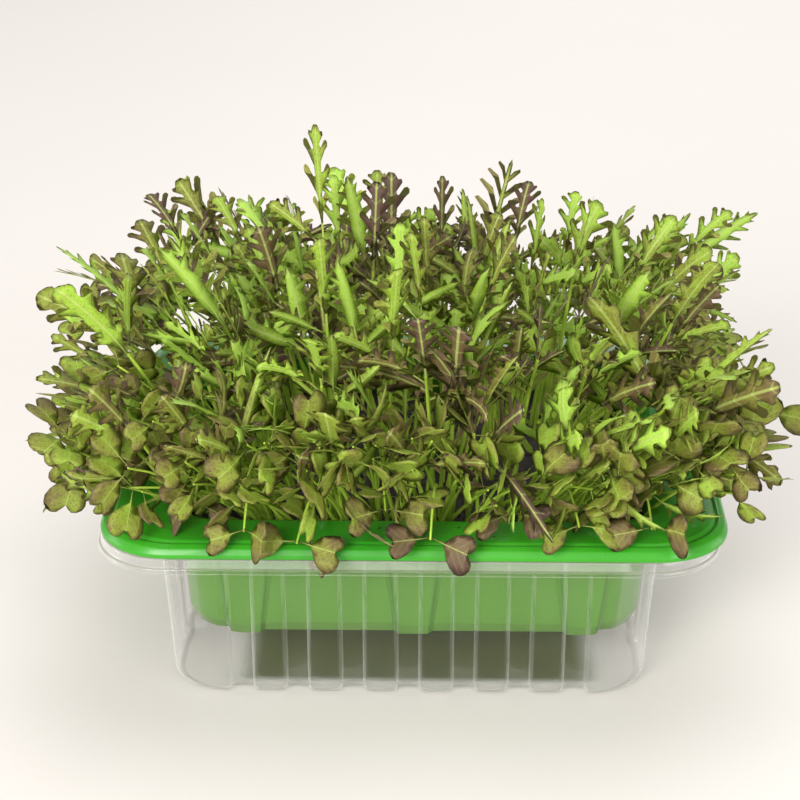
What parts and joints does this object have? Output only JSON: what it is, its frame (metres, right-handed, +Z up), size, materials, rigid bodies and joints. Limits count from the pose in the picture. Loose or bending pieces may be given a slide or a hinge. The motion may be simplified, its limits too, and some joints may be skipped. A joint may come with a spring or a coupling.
{
  "type": "microgreens tray",
  "caption": "Green tray of mustard and mizuna seedlings in soil, hung by its rim in a clear fluted outer tray.",
  "frame": {"origin": "middle of the clear outer tray's base, on the surface it stands on", "axes": "+X along the tray's long side, -Y towards the front with the overhanging seed leaves, +Z up"},
  "size_m": [0.2801, 0.2175, 0.1862],
  "materials": {
    "clear_plastic": "thin clear PET, high gloss, slightly hazy along folds",
    "green_plastic": "bright green thermoformed plastic, satin gloss",
    "soil": "damp dark potting compost, crumbly",
    "green_leaf": "fresh green frilled leaves, soft waxy sheen",
    "purple_leaf": "purple-brown frilled leaves with paler green ribs, soft waxy sheen"
  },
  "bodies": {
    "root": {"outer_tray": "clear_plastic", "green_tray": "green_plastic", "soil": "soil", "seedlings_01": "purple_leaf", "seedlings_02": "green_leaf", "seedlings_03": "green_leaf", "seedlings_04": "green_leaf", "seedlings_05": "purple_leaf", "seedlings_06": "purple_leaf", "seedlings_07": "green_leaf", "seedlings_08": "green_leaf", "seedlings_09": "green_leaf", "seedlings_10": "purple_leaf", "seedlings_11": "purple_leaf", "seedlings_12": "green_leaf", "seedlings_13": "green_leaf", "seedlings_14": "green_leaf", "seedlings_15": "purple_leaf", "seedlings_16": "purple_leaf", "seedlings_17": "green_leaf", "seedlings_18": "green_leaf", "seedlings_19": "green_leaf", "seedlings_20": "purple_leaf", "seedlings_21": "purple_leaf", "seedlings_22": "green_leaf", "seedlings_23": "green_leaf", "seedlings_24": "green_leaf", "seedlings_25": "purple_leaf", "seedlings_26": "purple_leaf", "seedlings_27": "green_leaf", "seedlings_28": "green_leaf", "seedlings_29": "purple_leaf", "seedlings_30": "purple_leaf", "seedlings_31": "green_leaf", "seedlings_32": "green_leaf"}
  },
  "joints": []
}
